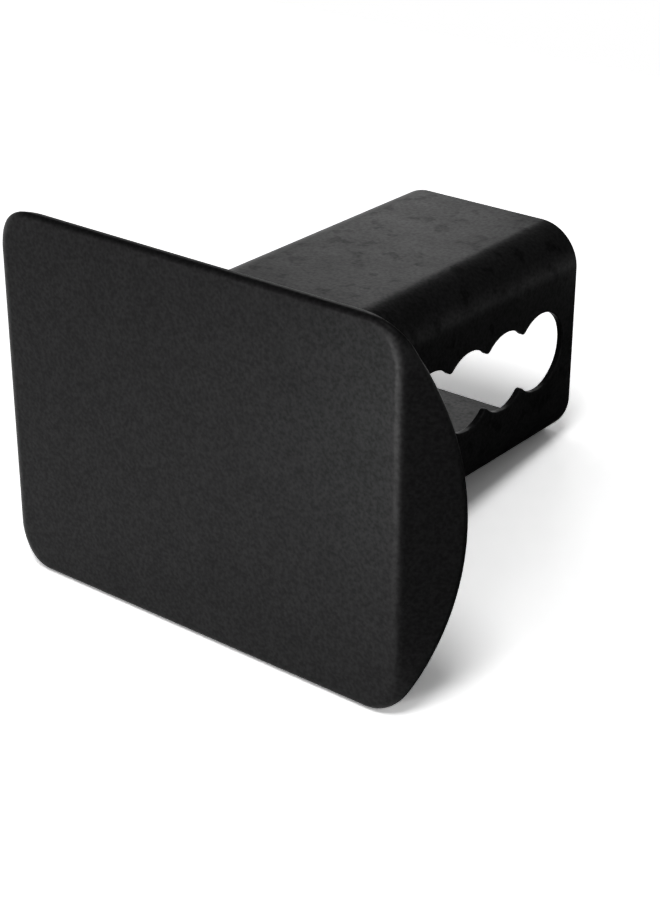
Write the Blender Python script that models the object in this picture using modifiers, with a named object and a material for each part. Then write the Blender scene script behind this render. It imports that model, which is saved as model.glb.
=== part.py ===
"""Hitch receiver cover: a folded face plate welded to a short square tube with a scalloped pin slot.

Metres, +Z up. The origin is on the tube's axis, in the plane of the face plate's back.
The face looks along -Y, and the tube runs along +Y into the receiver.
"""

import math

import bmesh
import bpy

COLLECTION_NAME = "hitch_receiver_cover"
CUTTER_COLLECTION_NAME = "cutters"

# Face plate: a flat blank, cut out first and folded back at both sides, along a line with round corners
PLATE_THICKNESS = 0.0020
PLATE_HEIGHT = 0.0813
FLAT_WIDTH = 0.0977          # between the two fold lines
FACE_CORNER_RADIUS = 0.0093  # of the fold line, where it turns into the upper or lower edge
FOLD_ANGLE = math.radians(45)
FOLD_INNER_RADIUS = 0.0015
WING_REACH = 0.0115          # flat part of a wing, from the end of its fold to its tip
WING_RIM_RISE = 0.0142       # of the arc at a wing's rim, over the whole height of the plate
PLATE_CORNER_RADIUS = 0.0116 # of the blank
FACE_EDGE_ROUND = 0.0008     # on the rim's front edge
BACK_EDGE_ROUND = 0.0003     # on the rim's back edge

# Receiver tube, cold formed square, for a receiver of two inches
TUBE_SIZE = 0.0500
TUBE_WALL = 0.0015
TUBE_CORNER_RADIUS = 0.0095  # outside
TUBE_END = 0.0976            # from the plate's back to the tube's open end
TUBE_EDGE_ROUND = 0.0003

# Pin slot: a row of overlapping round holes through both side walls
HOLE_DIAMETER = 0.0180
HOLE_PITCH = 0.0135
HOLE_COUNT = 4
HOLE_END_MARGIN = 0.0136     # from the last hole's centre to the tube's open end
CUSP_ROUND = 0.0010          # where two holes meet

# Stitch welds where the tube meets the plate, one on each side of the tube
WELD_LENGTH = 0.0240
WELD_LEG = 0.0030
WELD_END_SHARE = 0.8         # of the leg, how far a weld's two ends are rounded off

# Clearances and limits
SEAT_GAP = 0.0003            # between two pieces that seat on each other
CUTTER_OVERRUN = 0.0050      # how far a cutter runs past the wall that it cuts
EDGE_ROUND_LIMIT = 0.45      # of a wall, the most that the rounding of one edge takes

# Facets
ARC_STEP = math.radians(3)
PLATE_CORNER_STEP = math.radians(20)
TUBE_CORNER_STEP = math.radians(8)
HOLE_ARC_STEP = math.radians(10)
CUSP_ARC_STEP = math.radians(25)
FOLD_FACETS = 8
RIM_ROUND_FACETS = 3
WELD_FACETS = 24
WELD_END_FACETS = 4
SHARP_ANGLE = math.radians(30)
MERGE_DISTANCE = 1e-6        # points closer than this are one point

# Matt black powder coat, a little glossier where it pools on a weld
COAT_COLOUR = (0.017, 0.017, 0.018, 1.0)
COAT_ROUGHNESS = 0.50
WELD_COAT_COLOUR = (0.014, 0.014, 0.015, 1.0)
WELD_COAT_ROUGHNESS = 0.42


def clear_scene():
    """Remove every object that the file opened with."""
    for scene_object in list(bpy.data.objects):
        bpy.data.objects.remove(scene_object)


def new_collection(name):
    collection = bpy.data.collections.new(name)
    bpy.context.scene.collection.children.link(collection)
    return collection


def coat_material(name, colour, roughness):
    """A paint over steel, which hides the metal."""
    material = bpy.data.materials.new(name)
    material.use_nodes = True
    shader = material.node_tree.nodes["Principled BSDF"]
    shader.inputs["Base Color"].default_value = colour
    shader.inputs["Roughness"].default_value = roughness
    shader.inputs["Metallic"].default_value = 0.0
    return material


def edge_round(radius, wall):
    """The rounding of an edge, limited by the wall that it is on."""
    return min(radius, wall * EDGE_ROUND_LIMIT)


def arc_points(centre, radius, start, stop, step):
    """Points on an arc with both ends, where the angles run from the first axis to the second."""
    count = max(1, math.ceil(abs(stop - start) / step))
    angles = [start + (stop - start) * i / count for i in range(count + 1)]
    return [(centre[0] + radius * math.cos(a), centre[1] + radius * math.sin(a)) for a in angles]


def without_repeats(points):
    """A closed outline, less each point that lies on the one before it."""
    kept = []
    for point in points:
        if not kept or math.dist(point, kept[-1]) > MERGE_DISTANCE:
            kept.append(point)
    if math.dist(kept[0], kept[-1]) <= MERGE_DISTANCE:
        kept.pop()
    return kept


def extruded_mesh(name, outlines, depth, rotation, location):
    """Closed mesh of a flat outline, or of one with holes in it, drawn out to both sides of its plane."""
    curve = bpy.data.curves.new(name + "_outline", "CURVE")
    curve.dimensions = "2D"
    curve.fill_mode = "BOTH"
    curve.extrude = depth / 2
    for outline in outlines:
        points = without_repeats(outline)
        spline = curve.splines.new("POLY")
        spline.points.add(len(points) - 1)
        for spline_point, (x, y) in zip(spline.points, points):
            spline_point.co = (x, y, 0.0, 1.0)
        spline.use_cyclic_u = True
    drawn = bpy.data.objects.new(name + "_outline", curve)
    drawn.rotation_euler = rotation
    drawn.location = location
    bpy.context.scene.collection.objects.link(drawn)
    bpy.context.view_layer.update()
    evaluated = drawn.evaluated_get(bpy.context.evaluated_depsgraph_get())
    mesh = bpy.data.meshes.new_from_object(evaluated)
    mesh.transform(drawn.matrix_world)
    mesh.name = name
    bpy.data.objects.remove(drawn)
    join_caps(mesh)
    return mesh


def join_caps(mesh):
    """Join the flat ends to the sides, and turn every face outwards."""
    bm = bmesh.new()
    bm.from_mesh(mesh)
    bmesh.ops.remove_doubles(bm, verts=bm.verts, dist=MERGE_DISTANCE)
    bmesh.ops.recalc_face_normals(bm, faces=bm.faces)
    bm.to_mesh(mesh)
    bm.free()


def place_mesh(name, mesh, collection, material=None):
    """A named object for a mesh, shaded smooth between its sharp edges."""
    placed = bpy.data.objects.new(name, mesh)
    collection.objects.link(placed)
    mesh.materials.clear()
    if material is not None:
        mesh.materials.append(material)
    mesh.shade_smooth()
    mesh.set_sharp_from_angle(angle=SHARP_ANGLE)
    return placed


# Face plate

def fold_neutral_radius():
    return FOLD_INNER_RADIUS + PLATE_THICKNESS / 2


def blank_half_length():
    """From the middle of the blank to a wing's tip, measured along the middle of the sheet."""
    return FLAT_WIDTH / 2 + fold_neutral_radius() * FOLD_ANGLE + WING_REACH


def blank_outline(inset):
    """The flat blank in x and z, drawn in by the inset: straight above and below, an arc at each wing's rim."""
    half_height = PLATE_HEIGHT / 2
    rim_radius = (half_height ** 2 + WING_RIM_RISE ** 2) / (2 * WING_RIM_RISE)
    rim_centre_x = blank_half_length() - rim_radius
    corner_z = half_height - PLATE_CORNER_RADIUS
    corner_x = rim_centre_x + math.sqrt((rim_radius - PLATE_CORNER_RADIUS) ** 2 - corner_z ** 2)
    meet_angle = math.atan2(corner_z, corner_x - rim_centre_x)
    rim = arc_points((rim_centre_x, 0.0), rim_radius - inset, -meet_angle, meet_angle, ARC_STEP)
    corner = arc_points((corner_x, corner_z), PLATE_CORNER_RADIUS - inset, meet_angle, math.pi / 2,
                        PLATE_CORNER_STEP)
    fold_start_x = min(corner_x, FLAT_WIDTH / 2 - FACE_CORNER_RADIUS)
    upper = corner[1:-1] + [(fold_start_x, half_height - inset)]
    right_side = [(x, -z) for x, z in reversed(upper)] + rim + upper
    left_side = [(-x, -z) for x, z in right_side]
    return right_side + left_side


def rim_profile():
    """How far in from the rim and how far back each ring round it lies, from the face to the back."""
    face = edge_round(FACE_EDGE_ROUND, PLATE_THICKNESS)
    back = edge_round(BACK_EDGE_ROUND, PLATE_THICKNESS)
    angles = [math.pi / 2 * i / RIM_ROUND_FACETS for i in range(RIM_ROUND_FACETS + 1)]
    face_edge = [(face * (1 - math.sin(a)), face * (1 - math.cos(a)) - PLATE_THICKNESS) for a in angles]
    back_edge = [(back * (1 - math.cos(a)), back * (math.sin(a) - 1)) for a in angles]
    return face_edge + back_edge


def beyond_fold(x, z):
    """How far a point of the blank lies outside the fold line, and the way there, square to the line."""
    from_x = max(abs(x) - (FLAT_WIDTH / 2 - FACE_CORNER_RADIUS), 0.0)
    from_z = max(abs(z) - (PLATE_HEIGHT / 2 - FACE_CORNER_RADIUS), 0.0)
    distance = math.hypot(from_x, from_z)
    if from_x <= 0 or distance <= FACE_CORNER_RADIUS:
        return 0.0, (0.0, 0.0)
    outward = (math.copysign(from_x / distance, x), math.copysign(from_z / distance, z))
    return distance - FACE_CORNER_RADIUS, outward


def folded_place(x, y, z):
    """Where a point of the flat blank lies once its rim is folded back."""
    reach, (out_x, out_z) = beyond_fold(x, z)
    turned = min(reach / fold_neutral_radius(), FOLD_ANGLE)
    straight = max(reach - fold_neutral_radius() * FOLD_ANGLE, 0.0)
    radius = FOLD_INNER_RADIUS - y
    along = radius * math.sin(turned) + straight * math.cos(turned)
    back = FOLD_INNER_RADIUS - radius * math.cos(turned) + straight * math.sin(turned)
    return x + out_x * (along - reach), back, z + out_z * (along - reach)


def fold_ring(outline, y, bend):
    """A ring on one side of the sheet, at a length of the bend outside the fold line or at the outline."""
    ring = []
    for x, z in outline:
        reach, (out_x, out_z) = beyond_fold(x, z)
        drawn_in = max(reach - bend, 0.0)
        ring.append(folded_place(x - out_x * drawn_in, y, z - out_z * drawn_in))
    return ring


def plate_rings():
    """Rings over the folded plate: out across its face, round its rim and in across its back."""
    profile = rim_profile()
    bends = [fold_neutral_radius() * FOLD_ANGLE * i / FOLD_FACETS for i in range(FOLD_FACETS + 1)]
    front, rear = blank_outline(profile[0][0]), blank_outline(profile[-1][0])
    face = [fold_ring(front, profile[0][1], bend) for bend in bends]
    rim = [[folded_place(x, y, z) for x, z in blank_outline(inset)] for inset, y in profile]
    back = [fold_ring(rear, profile[-1][1], bend) for bend in reversed(bends)]
    return face + rim + back


def make_face_plate(collection):
    """The folded sheet, a strip of faces between each two rings and one flat face inside the fold line."""
    bm = bmesh.new()
    loops = [[bm.verts.new(point) for point in ring] for ring in plate_rings()]
    for near, far in zip(loops, loops[1:]):
        for i in range(len(near)):
            bm.faces.new((near[i - 1], near[i], far[i], far[i - 1]))
    bm.faces.new(loops[0])
    bm.faces.new(loops[-1])
    mesh = bpy.data.meshes.new("face_plate")
    bm.to_mesh(mesh)
    bm.free()
    join_caps(mesh)
    coat = coat_material("plate_powder_coat", COAT_COLOUR, COAT_ROUGHNESS)
    return place_mesh("face_plate", mesh, collection, coat)


# Receiver tube

def rounded_square(size, corner_radius):
    """A square outline about the origin with round corners."""
    middle = size / 2 - corner_radius
    points = []
    for quarter in range(4):
        start = quarter * math.pi / 2
        side_x = math.copysign(middle, math.cos(start + math.pi / 4))
        side_z = math.copysign(middle, math.sin(start + math.pi / 4))
        points += arc_points((side_x, side_z), corner_radius, start, start + math.pi / 2, TUBE_CORNER_STEP)
    return points


def hole_centres():
    """The holes' places along the tube, the one nearest its open end first."""
    last = TUBE_END - HOLE_END_MARGIN
    return [last - HOLE_PITCH * i for i in range(HOLE_COUNT)]


def slot_outlines():
    """The holes' joint outline in y and z, with its cusps rounded. Holes too far apart to meet stay round."""
    radius = HOLE_DIAMETER / 2
    centres = hole_centres()
    if HOLE_PITCH >= HOLE_DIAMETER:
        return [arc_points((y, 0.0), radius, 0.0, 2 * math.pi, HOLE_ARC_STEP) for y in centres]
    cusp_angle = math.acos(HOLE_PITCH / 2 / (radius + CUSP_ROUND))
    cusp_z = (radius + CUSP_ROUND) * math.sin(cusp_angle)
    upper = []
    for i, y in enumerate(centres):
        start = 0.0 if i == 0 else cusp_angle
        stop = math.pi if i == len(centres) - 1 else math.pi - cusp_angle
        upper += arc_points((y, 0.0), radius, start, stop, HOLE_ARC_STEP)
        if i < len(centres) - 1:
            cusp_centre = (y - HOLE_PITCH / 2, cusp_z)
            upper += arc_points(cusp_centre, CUSP_ROUND, -cusp_angle, cusp_angle - math.pi, CUSP_ARC_STEP)
    lower = [(y, -z) for y, z in reversed(upper)]
    return [upper + lower]


def make_slot_cutter(collection):
    """One prism of the slot's outline, through both side walls."""
    mesh = extruded_mesh("pin_slot_cutter", slot_outlines(), TUBE_SIZE + 2 * CUTTER_OVERRUN,
                         rotation=(math.pi / 2, 0.0, math.pi / 2), location=(0.0, 0.0, 0.0))
    cutter = place_mesh("pin_slot_cutter", mesh, collection)
    cutter.hide_render = True
    cutter.display_type = "WIRE"
    return cutter


def make_receiver_tube(collection, cutter):
    """The square tube, open at its far end, with the pin slot cut through both sides."""
    outer = rounded_square(TUBE_SIZE, TUBE_CORNER_RADIUS)
    inner = rounded_square(TUBE_SIZE - 2 * TUBE_WALL, max(TUBE_CORNER_RADIUS - TUBE_WALL, 0.0))
    mesh = extruded_mesh("receiver_tube", [outer, inner], TUBE_END - SEAT_GAP,
                         rotation=(math.pi / 2, 0.0, 0.0), location=(0.0, (TUBE_END + SEAT_GAP) / 2, 0.0))
    coat = coat_material("tube_powder_coat", COAT_COLOUR, COAT_ROUGHNESS)
    tube = place_mesh("receiver_tube", mesh, collection, coat)
    cut = tube.modifiers.new("pin_slot", "BOOLEAN")
    cut.operation = "DIFFERENCE"
    cut.object = cutter
    edges = tube.modifiers.new("broken_edges", "BEVEL")
    edges.width = edge_round(TUBE_EDGE_ROUND, TUBE_WALL)
    edges.segments = 1
    edges.limit_method = "ANGLE"
    edges.angle_limit = SHARP_ANGLE
    return tube


# Welds

def make_weld(name, turn, collection):
    """A stitch of weld in the corner between the plate's back and one side of the tube."""
    bead_radius = WELD_LEG + SEAT_GAP
    bm = bmesh.new()
    bmesh.ops.create_cone(bm, cap_ends=True, segments=WELD_FACETS, radius1=bead_radius,
                          radius2=bead_radius, depth=WELD_LENGTH)
    ends = [edge for edge in bm.edges if abs(edge.verts[0].co.z - edge.verts[1].co.z) < MERGE_DISTANCE]
    bmesh.ops.bevel(bm, geom=ends, offset=WELD_LEG * WELD_END_SHARE, offset_type="OFFSET",
                    segments=WELD_END_FACETS, profile=0.5, affect="EDGES")
    for vert in bm.verts:
        vert.co = (vert.co.z, vert.co.x, vert.co.y + TUBE_SIZE / 2)
    for corner, outward in (((0.0, SEAT_GAP, 0.0), (0.0, 1.0, 0.0)),
                            ((0.0, 0.0, TUBE_SIZE / 2 + SEAT_GAP), (0.0, 0.0, 1.0))):
        cut = bmesh.ops.bisect_plane(bm, geom=bm.verts[:] + bm.edges[:] + bm.faces[:], plane_co=corner,
                                     plane_no=outward, dist=MERGE_DISTANCE, clear_inner=True)
        open_edges = [item for item in cut["geom_cut"] if isinstance(item, bmesh.types.BMEdge)]
        bmesh.ops.contextual_create(bm, geom=open_edges)
    bmesh.ops.recalc_face_normals(bm, faces=bm.faces)
    mesh = bpy.data.meshes.new(name)
    bm.to_mesh(mesh)
    bm.free()
    coat = coat_material(name + "_coat", WELD_COAT_COLOUR, WELD_COAT_ROUGHNESS)
    weld = place_mesh(name, mesh, collection, coat)
    weld.rotation_euler = (0.0, turn, 0.0)
    return weld


def make_welds(collection):
    for i, side in enumerate(("top", "right", "bottom", "left")):
        make_weld("weld_" + side, i * math.pi / 2, collection)


def main():
    clear_scene()
    parts = new_collection(COLLECTION_NAME)
    cutters = new_collection(CUTTER_COLLECTION_NAME)
    make_face_plate(parts)
    make_receiver_tube(parts, make_slot_cutter(cutters))
    make_welds(parts)


main()
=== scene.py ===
"""Hitch receiver cover, dressed for the picture: powder coat, rippled welds, a white floor and soft light.

Metres, +Z up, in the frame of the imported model. The face looks along -Y and the tube runs along +Y.
"""

import math

import bmesh
import bpy
from mathutils import Matrix, Vector, noise


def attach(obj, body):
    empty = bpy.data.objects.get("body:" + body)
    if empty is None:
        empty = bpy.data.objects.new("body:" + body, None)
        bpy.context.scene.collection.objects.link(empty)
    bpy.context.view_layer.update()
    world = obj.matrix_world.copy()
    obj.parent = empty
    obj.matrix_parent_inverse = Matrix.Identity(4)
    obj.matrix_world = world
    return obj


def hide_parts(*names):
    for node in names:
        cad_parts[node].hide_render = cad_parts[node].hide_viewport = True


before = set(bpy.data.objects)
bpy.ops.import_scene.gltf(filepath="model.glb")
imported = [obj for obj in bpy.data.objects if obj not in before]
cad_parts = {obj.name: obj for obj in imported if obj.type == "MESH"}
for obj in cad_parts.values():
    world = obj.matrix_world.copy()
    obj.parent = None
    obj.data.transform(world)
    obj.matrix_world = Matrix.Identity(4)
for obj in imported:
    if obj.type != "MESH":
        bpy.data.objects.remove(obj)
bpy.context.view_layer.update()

# Camera, solved from the photograph's edges
CAMERA_PLACE = (0.239363, -0.260628, 0.173240)
CAMERA_YAW = math.radians(38.3782)
CAMERA_PITCH = math.radians(26.0500)
CAMERA_ROLL = math.radians(-0.1205)
CAMERA_FOCAL = 2003.13       # in pixels of the picture
PICTURE_HEIGHT = 900
SENSOR_SIZE = 36.0           # mm, along the picture's height
NEAREST_SEEN = 0.01
FURTHEST_SEEN = 10.0

# The floor: its colour for the light, and the lighter one that the camera and mirrors see, so that it looks white
FLOOR_HALF_SIZE = 0.60
FLOOR_BEHIND = 0.28          # how far the floor runs behind the plate
FLOOR_COLOUR = 0.8
FLOOR_COLOUR_SEEN = 2.00
FLOOR_GRAIN_SCALE = 400
FLOOR_GRAIN_DETAIL = 2
FLOOR_GRAIN = 0.02

# The world: its strength for the light, and the white that the camera and mirrors see
WORLD_LIGHT = 0.24
WORLD_SEEN = 1.0

# Lamps with parallel light: azimuth (0 in front, 90 at the right), elevation, strength, and width in degrees
LAMPS = {
    "key": (24, 71, 0.90, 22),
    "left": (-100, 53, 0.26, 45),
    "back": (-146, 28, 0.25, 15),
}
FRONT_LAMP_PLACE = (-0.016, -0.20, -0.045)
FRONT_LAMP_SIZE = 0.06
FRONT_LAMP_POWER = 0.36

# Cards that only reflections see, each with its strength and four corners. The black ones paint dark reflections on
# the wing, the tube and the plate's top edge, and the glowing strip paints a highlight along the right fold. The
# camera, diffuse light and shadows pass through them all
CARDS = {
    # black: paints the dark reflection on the right wing and on the tube's right side
    "right": (0.0, ((0.066, -0.35, -0.0965), (0.45, -0.35, -0.0965),
                    (0.45, 0.20, -0.00825), (0.066, 0.20, -0.00825))),
    "low": (0.0, ((0.012, 0.0, -0.0404), (0.066, 0.0, -0.0404),
                  (0.066, 0.17, -0.0132), (0.020, 0.17, -0.0132))),
    "above": (0.0, ((-0.9, -0.6, 0.35), (0.5, -0.6, 0.35),
                    (0.5, 0.49, 0.35), (-0.9, 0.49, 0.35))),
    "front": (0.0, ((-0.9, -0.6, -0.14), (-0.8, -0.6, -0.14),
                    (-0.8, -0.6, 0.35), (-0.9, -0.6, 0.35))),
    # glows for reflections only and is no lamp: paints the highlight along the right fold and the top right corner
    "strip": (10.0, ((0.036, -0.07, -0.060), (0.058, -0.07, -0.060),
                     (0.058, -0.07, 0.060), (0.036, -0.07, 0.060))),
    "behind": (0.0, ((-0.27, 0.55, -0.04), (0.5, 0.55, -0.04),
                     (0.5, 0.55, 0.36), (-0.27, 0.55, 0.36))),
}

# Matt black powder coat. Scales are in cells per metre, depths in metres
COAT_COLOUR = (0.0070, 0.0070, 0.0072)
COAT_ROUGHNESS = 0.39
COAT_SHINE = 0.06            # specular level
GRAIN_SCALE = 1350           # the coat's grain
GRAIN_DETAIL = 1
GRAIN_DEPTH = 0.000004
GRAIN_SHADE = 0.25           # how far it changes the colour and the specular level
PEEL_SCALE = 650             # the faint orange peel under it
PEEL_DEPTH = 0.000004
CLOUD_SCALE = 110            # cloudy patches of lighter and darker coat
CLOUD_DETAIL = 3
SMUDGE_SCALE = 260           # small dark smudges, where the noise is at the low end of their band
SMUDGE_DETAIL = 3
SMUDGE_BAND = (0.33, 0.43)
USUAL_BAND = (0.3, 0.7)      # the band of any other noise

# Clouds, smudges and place in the noise of each coat
PLATE_COAT = (0.04, 0.04, 0.1)
TUBE_COAT = (0.16, 0.40, 0.2)
BEAD_COAT = (0.15, 0.04, 0.3)

# Sizes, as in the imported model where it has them
PLATE_THICKNESS = 0.0020
PLATE_HEIGHT = 0.0813
FLAT_WIDTH = 0.0977
FACE_CORNER_RADIUS = 0.0093
FOLD_ANGLE = math.radians(45)
FOLD_INNER_RADIUS = 0.0015
FOLD_NEUTRAL_RADIUS = FOLD_INNER_RADIUS + PLATE_THICKNESS / 2
WING_REACH = 0.0116          # 0.1 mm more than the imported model's, for the same width over the wings
WING_RIM_RISE = 0.0142
PLATE_CORNER_RADIUS = 0.0116
FACE_EDGE_ROUND = 0.0011     # 0.3 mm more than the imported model's, for the picture's softer edge
BACK_EDGE_ROUND = 0.0003

TUBE_SIZE = 0.0500
TUBE_WALL = 0.0015
TUBE_CORNER_RADIUS = 0.0095
TUBE_END = 0.0976
TUBE_EDGE_ROUND = 0.0003
TUBE_EDGE_SEGMENTS = 3
TUBE_EDGE_ANGLE = math.radians(30)   # sharper edges than this are rounded
HOLE_DIAMETER = 0.0180
HOLE_PITCH = 0.0135
HOLE_COUNT = 4
HOLE_END_MARGIN = 0.0136
CUSP_ROUND = 0.0010
CUTTER_OVERRUN = 0.0050

WELD_LENGTH = 0.0240
WELD_LEG = 0.0030
WELD_ROOT_DEPTH = 0.0004     # how far a bead's root lies inside both walls
WELD_CENTRE_DEPTH = 0.0001   # how far the centre of its round does
BEAD_LEAST_RADIUS = 0.0002
BEAD_FLATNESS = 0.14         # how far the middle of its round is drawn in
BEAD_WANDER = 0.00018        # uneven thickness, and the length over which it changes
BEAD_WANDER_LENGTH = 0.0035
RIPPLE_PITCH = 0.0013
RIPPLE_HEIGHT = 0.00022
RIPPLE_BOW = 0.55            # how far the ripples bow along the bead, in ripples
RIPPLE_SHIFT = 0.25          # how far their pitch is off, and the length over which that changes
RIPPLE_SHIFT_LENGTH = 0.002
RIPPLE_SHIFT_ROW = 3.1       # the row of the noise that it comes from
RIPPLE_FADE = 0.6            # power by which they fade toward both walls

CORNER_STEP = math.radians(3)
RIM_STEP = math.radians(1)
HOLE_STEP = math.radians(5)
CUSP_STEP = math.radians(15)
FOLD_FACETS = 16
FOLD_EDGE_FACETS = 5
FACE_ROUND_FACETS = 6
BACK_ROUND_FACETS = 3
BEAD_LENGTH_FACETS = 120
BEAD_ROUND_FACETS = 12
MERGE_DISTANCE = 1e-6
STEP_SLACK = 1e-9            # keeps a whole number of steps whole
TURN_MARGIN = 1e-3           # keeps the sine of twice the turn above nought
FLAT_FACE_WEIGHT = 50        # the usual weight of the modifier that keeps flat faces flat


def link(thing):
    bpy.context.scene.collection.objects.link(thing)
    return thing


def arc_points(centre, radius, start, stop, step):
    count = max(1, math.ceil(abs(stop - start) / step - STEP_SLACK))
    angles = [start + (stop - start) * i / count for i in range(count + 1)]
    return [(centre[0] + radius * math.cos(a), centre[1] + radius * math.sin(a)) for a in angles]


def mesh_object(name, bm):
    """An object for a closed mesh, with its faces turned outward."""
    bmesh.ops.recalc_face_normals(bm, faces=bm.faces)
    mesh = bpy.data.meshes.new(name)
    bm.to_mesh(mesh)
    bm.free()
    return link(bpy.data.objects.new(name, mesh))


def smooth_piece(name, bm, material):
    """A smooth object for a mesh, with its flat faces kept flat beside its round edges."""
    piece = mesh_object(name, bm)
    piece.data.shade_smooth()
    piece.data.materials.append(material)
    normals = piece.modifiers.new("flat_faces", "WEIGHTED_NORMAL")
    normals.mode = "FACE_AREA"
    normals.weight = FLAT_FACE_WEIGHT
    return piece


def add_rings(bm, rings):
    """Strips of faces between closed rings of points, all with the same number of points."""
    loops = [[bm.verts.new(point) for point in ring] for ring in rings]
    for low, high in zip(loops, loops[1:]):
        for i in range(len(low)):
            j = (i + 1) % len(low)
            bm.faces.new((low[i], low[j], high[j], high[i]))
    return loops


def capped_rings(rings):
    """A closed mesh of rings, with a face over the first and one over the last."""
    bm = bmesh.new()
    loops = add_rings(bm, rings)
    bm.faces.new(reversed(loops[0]))
    bm.faces.new(loops[-1])
    return bm


def blank_outline(inset):
    """The plate's flat blank in x and z, drawn in by an inset: straight above and below, an arc at each rim."""
    half_height = PLATE_HEIGHT / 2
    half_length = FLAT_WIDTH / 2 + FOLD_NEUTRAL_RADIUS * FOLD_ANGLE + WING_REACH
    rim_radius = (half_height ** 2 + WING_RIM_RISE ** 2) / (2 * WING_RIM_RISE)
    rim_x = half_length - rim_radius
    corner_z = half_height - PLATE_CORNER_RADIUS
    corner_x = rim_x + math.sqrt((rim_radius - PLATE_CORNER_RADIUS) ** 2 - corner_z ** 2)
    meet = math.atan2(corner_z, corner_x - rim_x)
    rim = arc_points((rim_x, 0.0), rim_radius - inset, -meet, meet, RIM_STEP)
    corner = arc_points((corner_x, corner_z), PLATE_CORNER_RADIUS - inset, meet, math.pi / 2, CORNER_STEP)
    edge_length = corner_x - (FLAT_WIDTH / 2 - FACE_CORNER_RADIUS)
    edge = [(corner_x - edge_length * i / FOLD_EDGE_FACETS, half_height - inset)
            for i in range(1, FOLD_EDGE_FACETS + 1)]
    upper = corner[1:] + edge
    right = [(x, -z) for x, z in reversed(upper)] + rim + upper
    return right + [(-x, -z) for x, z in right]


def plate_profile():
    """How far in and how far back each ring of the rim lies, from the face to the back."""
    face = [(FACE_EDGE_ROUND * (1 - math.sin(a)), -PLATE_THICKNESS + FACE_EDGE_ROUND * (1 - math.cos(a)))
            for a in (math.pi / 2 * i / FACE_ROUND_FACETS for i in range(FACE_ROUND_FACETS + 1))]
    back = [(BACK_EDGE_ROUND * (1 - math.cos(a)), -BACK_EDGE_ROUND * (1 - math.sin(a)))
            for a in (math.pi / 2 * i / BACK_ROUND_FACETS for i in range(BACK_ROUND_FACETS + 1))]
    return face + back


def beyond_fold(x, z):
    """How far a point of the blank lies outside the fold line, and the way there, square to the line."""
    from_x = max(abs(x) - (FLAT_WIDTH / 2 - FACE_CORNER_RADIUS), 0.0)
    from_z = max(abs(z) - (PLATE_HEIGHT / 2 - FACE_CORNER_RADIUS), 0.0)
    distance = math.hypot(from_x, from_z)
    if from_x <= 0 or distance <= FACE_CORNER_RADIUS:
        return 0.0, (0.0, 0.0)
    outward = (math.copysign(from_x / distance, x), math.copysign(from_z / distance, z))
    return distance - FACE_CORNER_RADIUS, outward


def folded_place(x, y, z):
    """Where a point of the flat blank lies once its rim is folded back."""
    reach, (out_x, out_z) = beyond_fold(x, z)
    turned = min(reach / FOLD_NEUTRAL_RADIUS, FOLD_ANGLE)
    straight = max(reach - FOLD_NEUTRAL_RADIUS * FOLD_ANGLE, 0.0)
    radius = FOLD_INNER_RADIUS - y
    along = radius * math.sin(turned) + straight * math.cos(turned)
    back = FOLD_INNER_RADIUS - radius * math.cos(turned) + straight * math.sin(turned)
    return x + out_x * (along - reach), back, z + out_z * (along - reach)


def fold_ring(outline, y, bend):
    """A ring on one side of the sheet, at a length of the bend outside the fold line or at the outline."""
    ring = []
    for x, z in outline:
        reach, (out_x, out_z) = beyond_fold(x, z)
        drawn_in = max(reach - bend, 0.0)
        ring.append(folded_place(x - out_x * drawn_in, y, z - out_z * drawn_in))
    return ring


def make_plate(material):
    """The plate as rings: over the face from the fold line outward, round the rim, and back over the rear."""
    profile = plate_profile()
    (face_inset, face_y), (rear_inset, rear_y) = profile[0], profile[-1]
    bends = [FOLD_NEUTRAL_RADIUS * FOLD_ANGLE * i / FOLD_FACETS for i in range(FOLD_FACETS + 1)]
    rings = [fold_ring(blank_outline(face_inset), face_y, bend) for bend in bends]
    rings += [[folded_place(x, y, z) for x, z in blank_outline(inset)] for inset, y in profile]
    rings += [fold_ring(blank_outline(rear_inset), rear_y, bend) for bend in reversed(bends)]
    bm = capped_rings(rings)
    bmesh.ops.remove_doubles(bm, verts=bm.verts, dist=MERGE_DISTANCE)
    return smooth_piece("plate", bm, material)


def slot_outline():
    """The four holes' joint outline in y and z, with its cusps rounded."""
    radius = HOLE_DIAMETER / 2
    centres = [TUBE_END - HOLE_END_MARGIN - HOLE_PITCH * i for i in range(HOLE_COUNT)]
    cusp = math.acos(HOLE_PITCH / 2 / (radius + CUSP_ROUND))
    cusp_z = (radius + CUSP_ROUND) * math.sin(cusp)
    upper = []
    for i, y in enumerate(centres):
        start = 0.0 if i == 0 else cusp
        stop = math.pi if i == HOLE_COUNT - 1 else math.pi - cusp
        upper += arc_points((y, 0.0), radius, start, stop, HOLE_STEP)[1:]
        if i < HOLE_COUNT - 1:
            upper += arc_points((y - HOLE_PITCH / 2, cusp_z), CUSP_ROUND, -cusp, cusp - math.pi, CUSP_STEP)[1:]
    return upper + [(y, -z) for y, z in reversed(upper[:-1])] + [(centres[0] + radius, 0.0)]


def rounded_square(size, corner_radius):
    middle = size / 2 - corner_radius
    points = []
    for quarter, (side_x, side_z) in enumerate(((1, 1), (-1, 1), (-1, -1), (1, -1))):
        start = quarter * math.pi / 2
        corner = (side_x * middle, side_z * middle)
        points += arc_points(corner, corner_radius, start, start + math.pi / 2, CORNER_STEP)
    return points


def make_slot_cutter():
    reach = TUBE_SIZE / 2 + CUTTER_OVERRUN
    return mesh_object("slot_cutter", capped_rings([[(x, y, z) for y, z in slot_outline()] for x in (-reach, reach)]))


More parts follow.
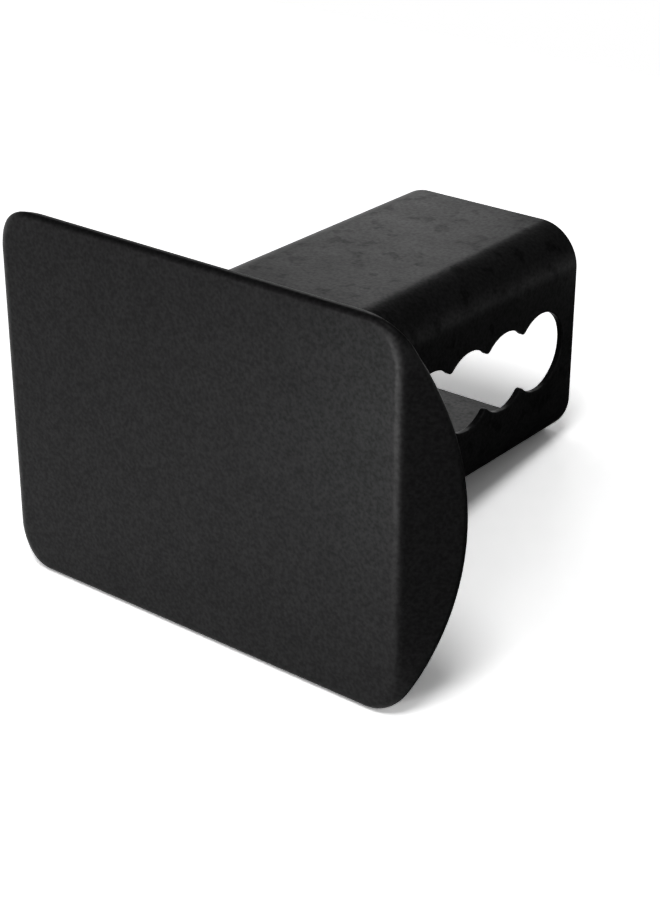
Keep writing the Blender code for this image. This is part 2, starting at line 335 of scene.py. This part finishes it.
def make_tube(material):
    """The tube as rings through its wall: outside, round the far edge, and back inside. Then its slot is cut."""
    outer = rounded_square(TUBE_SIZE, TUBE_CORNER_RADIUS)
    inner = rounded_square(TUBE_SIZE - 2 * TUBE_WALL, TUBE_CORNER_RADIUS - TUBE_WALL)
    rings = [[(x, y, z) for x, z in outline]
             for outline, y in ((outer, 0.0), (outer, TUBE_END), (inner, TUBE_END), (inner, 0.0))]
    bm = bmesh.new()
    add_rings(bm, rings + rings[:1])
    bmesh.ops.remove_doubles(bm, verts=bm.verts, dist=MERGE_DISTANCE)
    raw = mesh_object("tube_raw", bm)
    cutter = make_slot_cutter()
    cut = raw.modifiers.new("pin_slot", "BOOLEAN")
    cut.operation = "DIFFERENCE"
    cut.object = cutter
    edges = raw.modifiers.new("broken_edges", "BEVEL")
    edges.width = TUBE_EDGE_ROUND
    edges.segments = TUBE_EDGE_SEGMENTS
    edges.limit_method = "ANGLE"
    edges.angle_limit = TUBE_EDGE_ANGLE
    bpy.context.view_layer.update()
    result = bmesh.new()
    result.from_mesh(raw.evaluated_get(bpy.context.evaluated_depsgraph_get()).to_mesh())
    bpy.data.objects.remove(raw)
    bpy.data.objects.remove(cutter)
    return smooth_piece("tube", result, material)


def bead_radius(along, turn, seed):
    """A weld bead's radius: a rippled fillet that tapers at both ends."""
    turn = min(max(turn, TURN_MARGIN), math.pi / 2 - TURN_MARGIN)
    from_walls = math.sin(2 * turn)
    end = max(0.0, (abs(along) - WELD_LENGTH / 2 + WELD_LEG) / WELD_LEG)
    taper = math.sqrt(max(0.0, 1 - end ** 2))
    wander = BEAD_WANDER * noise.noise(Vector((along / BEAD_WANDER_LENGTH, turn, seed)))
    shift = RIPPLE_SHIFT * noise.noise(Vector((along / RIPPLE_SHIFT_LENGTH, RIPPLE_SHIFT_ROW, seed)))
    phase = along / RIPPLE_PITCH + RIPPLE_BOW * from_walls + shift
    ripple = RIPPLE_HEIGHT * (1 - (2 * (phase % 1.0) - 1) ** 2) * from_walls ** RIPPLE_FADE
    leg = WELD_LEG * (1 - BEAD_FLATNESS * from_walls)
    return (leg + wander + ripple) * taper + BEAD_LEAST_RADIUS


def make_bead(name, turn_about, seed, material):
    """A bead along the tube's top, then turned about the tube's axis to its own side."""
    wall_z = TUBE_SIZE / 2
    rings = []
    for i in range(BEAD_LENGTH_FACETS + 1):
        along = WELD_LENGTH * (i / BEAD_LENGTH_FACETS - 0.5)
        ring = [(along, -WELD_ROOT_DEPTH, wall_z - WELD_ROOT_DEPTH)]
        for j in range(BEAD_ROUND_FACETS + 1):
            turn = math.pi / 2 * j / BEAD_ROUND_FACETS
            radius = bead_radius(along, turn, seed)
            ring.append((along, radius * math.cos(turn) - WELD_CENTRE_DEPTH,
                         wall_z + radius * math.sin(turn) - WELD_CENTRE_DEPTH))
        rings.append(ring)
    bm = capped_rings(rings)
    bm.transform(Matrix.Rotation(turn_about, 4, "Y"))
    return smooth_piece(name, bm, material)


def add_camera():
    """The photograph's camera: turned left by its yaw, down by its pitch and about its own axis by its roll."""
    data = bpy.data.cameras.new("camera")
    data.sensor_width = SENSOR_SIZE
    data.lens = CAMERA_FOCAL * SENSOR_SIZE / PICTURE_HEIGHT
    data.clip_start = NEAREST_SEEN
    data.clip_end = FURTHEST_SEEN
    camera = link(bpy.data.objects.new("camera", data))
    forward = Vector((-math.sin(CAMERA_YAW) * math.cos(CAMERA_PITCH),
                      math.cos(CAMERA_YAW) * math.cos(CAMERA_PITCH),
                      -math.sin(CAMERA_PITCH)))
    level = Vector((math.cos(CAMERA_YAW), math.sin(CAMERA_YAW), 0.0))
    down = forward.cross(level)
    right = math.cos(CAMERA_ROLL) * level + math.sin(CAMERA_ROLL) * down
    below = -math.sin(CAMERA_ROLL) * level + math.cos(CAMERA_ROLL) * down
    axes = Matrix((right, -below, -forward)).transposed()
    camera.matrix_world = Matrix.Translation(CAMERA_PLACE) @ axes.to_4x4()
    bpy.context.scene.camera = camera


def new_material(name):
    material = bpy.data.materials.new(name)
    material.use_nodes = True
    return material, material.node_tree.nodes, material.node_tree.links


def plain_material(name, shader_type):
    """A material whose only shader is of another type than the usual one."""
    material, nodes, links = new_material(name)
    nodes.remove(nodes["Principled BSDF"])
    shader = nodes.new(shader_type)
    links.new(shader.outputs[0], nodes["Material Output"].inputs["Surface"])
    return material, nodes, links, shader


def level_by_ray(nodes, links, for_light, for_eye):
    """One value for rays that carry light, and another for those from the camera, a mirror or glass."""
    path = nodes.new("ShaderNodeLightPath")
    total = path.outputs["Is Camera Ray"]
    for name in ("Is Glossy Ray", "Is Transmission Ray"):
        added = nodes.new("ShaderNodeMath")
        added.operation = "MAXIMUM"
        links.new(total, added.inputs[0])
        links.new(path.outputs[name], added.inputs[1])
        total = added.outputs[0]
    level = nodes.new("ShaderNodeMapRange")
    level.clamp = False
    level.inputs["To Min"].default_value = for_light
    level.inputs["To Max"].default_value = for_eye
    links.new(total, level.inputs["Value"])
    return level.outputs["Result"]


def noise_value(nodes, links, place, scale, detail, low, high, band=USUAL_BAND):
    """Noise over the object, a band of it spread between two values."""
    texture = nodes.new("ShaderNodeTexNoise")
    texture.inputs["Scale"].default_value = scale
    texture.inputs["Detail"].default_value = detail
    links.new(place, texture.inputs["Vector"])
    spread = nodes.new("ShaderNodeMapRange")
    spread.inputs["From Min"].default_value, spread.inputs["From Max"].default_value = band
    spread.inputs["To Min"].default_value = low
    spread.inputs["To Max"].default_value = high
    links.new(texture.outputs["Fac"], spread.inputs["Value"])
    return spread.outputs["Result"]


def product(nodes, links, first, second):
    """The product of an output and another output or a plain value."""
    times = nodes.new("ShaderNodeMath")
    times.operation = "MULTIPLY"
    links.new(first, times.inputs[0])
    if isinstance(second, float):
        times.inputs[1].default_value = second
    else:
        links.new(second, times.inputs[1])
    return times.outputs[0]


def add_world():
    world = bpy.data.worlds.new("studio")
    bpy.context.scene.world = world
    world.use_nodes = True
    nodes, links = world.node_tree.nodes, world.node_tree.links
    background = nodes["Background"]
    background.inputs["Color"].default_value = (1.0, 1.0, 1.0, 1.0)
    links.new(level_by_ray(nodes, links, WORLD_LIGHT, WORLD_SEEN), background.inputs["Strength"])


def floor_material():
    material, nodes, links, shader = plain_material("floor_white", "ShaderNodeBsdfDiffuse")
    level = level_by_ray(nodes, links, FLOOR_COLOUR, FLOOR_COLOUR_SEEN)
    place = nodes.new("ShaderNodeTexCoord").outputs["Object"]
    paper = noise_value(nodes, links, place, FLOOR_GRAIN_SCALE, FLOOR_GRAIN_DETAIL,
                        1 - FLOOR_GRAIN, 1 + FLOOR_GRAIN)
    links.new(product(nodes, links, level, paper), shader.inputs["Color"])
    return material


def add_stage_face(name, corners, material):
    mesh = bpy.data.meshes.new(name)
    mesh.from_pydata(corners, [], [range(len(corners))])
    mesh.materials.append(material)
    face = link(bpy.data.objects.new(name, mesh))
    return face


def add_floor():
    """The floor, through the plate's foot and the tube's lower rear edge, which the cover stands on."""
    plate_foot_z, tube_foot_z = -PLATE_HEIGHT / 2, -TUBE_SIZE / 2
    slope = (tube_foot_z - plate_foot_z) / TUBE_END
    left, right = -FLOOR_HALF_SIZE, FLOOR_HALF_SIZE
    near, far = -FLOOR_HALF_SIZE, FLOOR_BEHIND
    corners = [(x, y, plate_foot_z + y * slope) for x, y in ((left, near), (right, near), (right, far), (left, far))]
    add_stage_face("floor", corners, floor_material())


def add_cards():
    for name, (strength, corners) in CARDS.items():
        material, _, _, glow = plain_material("card_" + name, "ShaderNodeEmission")
        glow.inputs["Strength"].default_value = strength
        card = add_stage_face("card_" + name, corners, material)
        # hidden from the camera, diffuse light, shadows and glass, so that they only paint reflections: dark ones,
        # and the strip's highlight
        card.visible_camera = card.visible_diffuse = card.visible_shadow = card.visible_transmission = False


def add_lamps():
    """Lamps with parallel light, and a small one close in front of the face, all aimed at the origin."""
    for name, (azimuth, elevation, strength, width) in LAMPS.items():
        data = bpy.data.lights.new(name, "SUN")
        data.energy = strength
        data.angle = math.radians(width)
        lamp = link(bpy.data.objects.new(name, data))
        turn, rise = math.radians(azimuth), math.radians(elevation)
        towards = Vector((math.sin(turn) * math.cos(rise), -math.cos(turn) * math.cos(rise), math.sin(rise)))
        lamp.rotation_euler = towards.to_track_quat("Z", "Y").to_euler()
    data = bpy.data.lights.new("front", "AREA")
    data.energy = FRONT_LAMP_POWER
    data.size = FRONT_LAMP_SIZE
    lamp = link(bpy.data.objects.new("front", data))
    lamp.location = FRONT_LAMP_PLACE
    lamp.rotation_euler = Vector(FRONT_LAMP_PLACE).to_track_quat("Z", "Y").to_euler()


def coat_material(name, clouds, smudges, seed):
    """A powder coat with a fine grain, a faint orange peel under it, cloudy patches and small dark smudges."""
    material, nodes, links = new_material(name)
    shader = nodes["Principled BSDF"]
    moved = nodes.new("ShaderNodeMapping")
    moved.inputs["Location"].default_value = (seed, 2 * seed, 3 * seed)
    links.new(nodes.new("ShaderNodeTexCoord").outputs["Object"], moved.inputs["Vector"])
    place = moved.outputs["Vector"]
    cloud = noise_value(nodes, links, place, CLOUD_SCALE, CLOUD_DETAIL, 1 - clouds, 1 + clouds)
    speck = noise_value(nodes, links, place, GRAIN_SCALE, GRAIN_DETAIL, 1 - GRAIN_SHADE, 1 + GRAIN_SHADE)
    smudge = noise_value(nodes, links, place, SMUDGE_SCALE, SMUDGE_DETAIL, 1 - smudges, 1.0, SMUDGE_BAND)
    shade = product(nodes, links, product(nodes, links, cloud, speck), smudge)
    links.new(product(nodes, links, shade, COAT_SHINE), shader.inputs["Specular IOR Level"])
    tint = nodes.new("ShaderNodeVectorMath")
    tint.operation = "SCALE"
    tint.inputs[0].default_value = COAT_COLOUR
    links.new(shade, tint.inputs["Scale"])
    links.new(tint.outputs["Vector"], shader.inputs["Base Color"])
    shader.inputs["Roughness"].default_value = COAT_ROUGHNESS
    relief = None
    for scale, depth in ((PEEL_SCALE, PEEL_DEPTH), (GRAIN_SCALE, GRAIN_DEPTH)):
        bump = nodes.new("ShaderNodeBump")
        bump.inputs["Distance"].default_value = depth
        links.new(noise_value(nodes, links, place, scale, GRAIN_DETAIL, 0.0, 1.0), bump.inputs["Height"])
        if relief is not None:
            links.new(relief, bump.inputs["Normal"])
        relief = bump.outputs["Normal"]
    links.new(relief, shader.inputs["Normal"])
    return material


def dress(piece, node):
    """Rides a piece on the part's one body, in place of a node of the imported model."""
    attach(piece, "root")
    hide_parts(node)


def main():
    bpy.context.scene.view_settings.view_transform = "Standard"
    add_camera()
    add_world()
    add_floor()
    add_cards()
    add_lamps()
    dress(make_plate(coat_material("plate_powder", *PLATE_COAT)), "face_plate")
    dress(make_tube(coat_material("tube_powder", *TUBE_COAT)), "receiver_tube")
    bead_coat = coat_material("bead_powder", *BEAD_COAT)
    for i, side in enumerate(("top", "right", "bottom", "left")):
        dress(make_bead("bead_" + side, i * math.pi / 2, i, bead_coat), "weld_" + side)


main()
